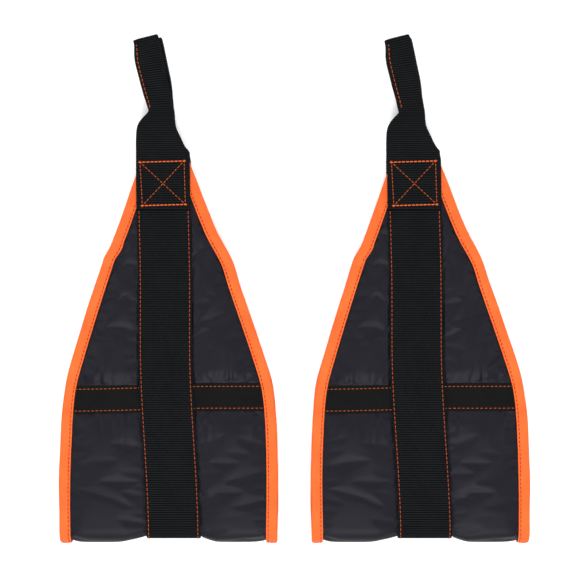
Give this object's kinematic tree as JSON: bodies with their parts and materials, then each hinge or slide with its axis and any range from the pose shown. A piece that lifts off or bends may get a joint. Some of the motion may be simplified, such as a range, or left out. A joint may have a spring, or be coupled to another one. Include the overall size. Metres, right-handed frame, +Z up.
{
  "type": "hanging ab slings",
  "caption": "Padded hanging arm slings for a pull-up bar, lying flat: folded padded strips with webbing loops, edge binding and sewn bands.",
  "frame": {"origin": "bottom centre of the pair's bounding box, on the surface that it lies on", "axes": "+X across the pair from the left sling to the right one, +Y from the folds to the hanging loops, +Z up away from the surface"},
  "size_m": [0.4362, 0.472, 0.028],
  "materials": {
    "cover_nylon": "black satin-faced nylon, lightly puckered, soft bluish sheen",
    "lining_mesh": "matt black air-mesh knit",
    "foam": "soft open-cell foam",
    "binding_tape": "bright orange grosgrain tape, fine cross ribs",
    "webbing": "black heavy webbing, ribbed across",
    "thread": "orange bonded sewing thread"
  },
  "bodies": {
    "left_back_half": {"left_back_cover": "cover_nylon", "left_back_foam": "foam", "left_back_lining": "lining_mesh", "left_back_binding_left": "binding_tape", "left_back_binding_right": "binding_tape", "left_back_cross_band": "webbing", "left_back_webbing": "webbing", "left_back_strap_end": "webbing", "left_back_box_stitch": "thread", "left_back_webbing_stitch_left": "thread", "left_back_webbing_stitch_right": "thread", "left_fold_cover": "cover_nylon", "left_fold_foam": "foam", "left_fold_lining": "lining_mesh", "left_fold_binding_left": "binding_tape", "left_fold_binding_right": "binding_tape", "left_fold_webbing": "webbing"},
    "left_front_half": {"left_front_cover": "cover_nylon", "left_front_foam": "foam", "left_front_lining": "lining_mesh", "left_front_binding_left": "binding_tape", "left_front_binding_right": "binding_tape", "left_front_cross_band": "webbing", "left_front_webbing": "webbing", "left_front_strap_end": "webbing", "left_front_box_stitch": "thread", "left_front_webbing_stitch_left": "thread", "left_front_webbing_stitch_right": "thread"},
    "left_front_loop": {"left_front_loop": "webbing"},
    "left_back_loop": {"left_back_loop": "webbing"},
    "right_back_half": {"right_back_cover": "cover_nylon", "right_back_foam": "foam", "right_back_lining": "lining_mesh", "right_back_binding_left": "binding_tape", "right_back_binding_right": "binding_tape", "right_back_cross_band": "webbing", "right_back_webbing": "webbing", "right_back_strap_end": "webbing", "right_back_box_stitch": "thread", "right_back_webbing_stitch_left": "thread", "right_back_webbing_stitch_right": "thread", "right_fold_cover": "cover_nylon", "right_fold_foam": "foam", "right_fold_lining": "lining_mesh", "right_fold_binding_left": "binding_tape", "right_fold_binding_right": "binding_tape", "right_fold_webbing": "webbing"},
    "right_front_half": {"right_front_cover": "cover_nylon", "right_front_foam": "foam", "right_front_lining": "lining_mesh", "right_front_binding_left": "binding_tape", "right_front_binding_right": "binding_tape", "right_front_cross_band": "webbing", "right_front_webbing": "webbing", "right_front_strap_end": "webbing", "right_front_box_stitch": "thread", "right_front_webbing_stitch_left": "thread", "right_front_webbing_stitch_right": "thread"},
    "right_front_loop": {"right_front_loop": "webbing"},
    "right_back_loop": {"right_back_loop": "webbing"}
  },
  "joints": [
    {"name": "left_fold", "type": "hinge", "parent": "left_back_half", "child": "left_front_half", "pos_m": [-0.11675, -0.222, 0.014], "axis": [1, 0, 0], "range_deg": [0, 180], "deforming": ["left_fold_cover", "left_fold_foam", "left_fold_lining", "left_fold_binding_left", "left_fold_binding_right", "left_fold_webbing"]},
    {"name": "left_front_loop_swing", "type": "hinge", "parent": "left_front_half", "child": "left_front_loop", "pos_m": [-0.124, 0.164, 0.02004], "axis": [1, 0, 0], "range_deg": [0, 120]},
    {"name": "left_back_loop_swing", "type": "hinge", "parent": "left_back_half", "child": "left_back_loop", "pos_m": [-0.124, 0.164, 0.00344], "axis": [1, 0, 0], "range_deg": [-120, 0]},
    {"name": "right_fold", "type": "hinge", "parent": "right_back_half", "child": "right_front_half", "pos_m": [0.11655, -0.222, 0.014], "axis": [1, 0, 0], "range_deg": [0, 180], "deforming": ["right_fold_cover", "right_fold_foam", "right_fold_lining", "right_fold_binding_left", "right_fold_binding_right", "right_fold_webbing"]},
    {"name": "right_front_loop_swing", "type": "hinge", "parent": "right_front_half", "child": "right_front_loop", "pos_m": [0.1093, 0.164, 0.02004], "axis": [1, 0, 0], "range_deg": [0, 120]},
    {"name": "right_back_loop_swing", "type": "hinge", "parent": "right_back_half", "child": "right_back_loop", "pos_m": [0.1093, 0.164, 0.00344], "axis": [1, 0, 0], "range_deg": [-120, 0]},
    {"name": "right_sling_slide", "type": "slide", "parent": "left_back_half", "child": "right_back_half", "axis": [1, 0, 0], "range_m": [0, 0.3]}
  ]
}
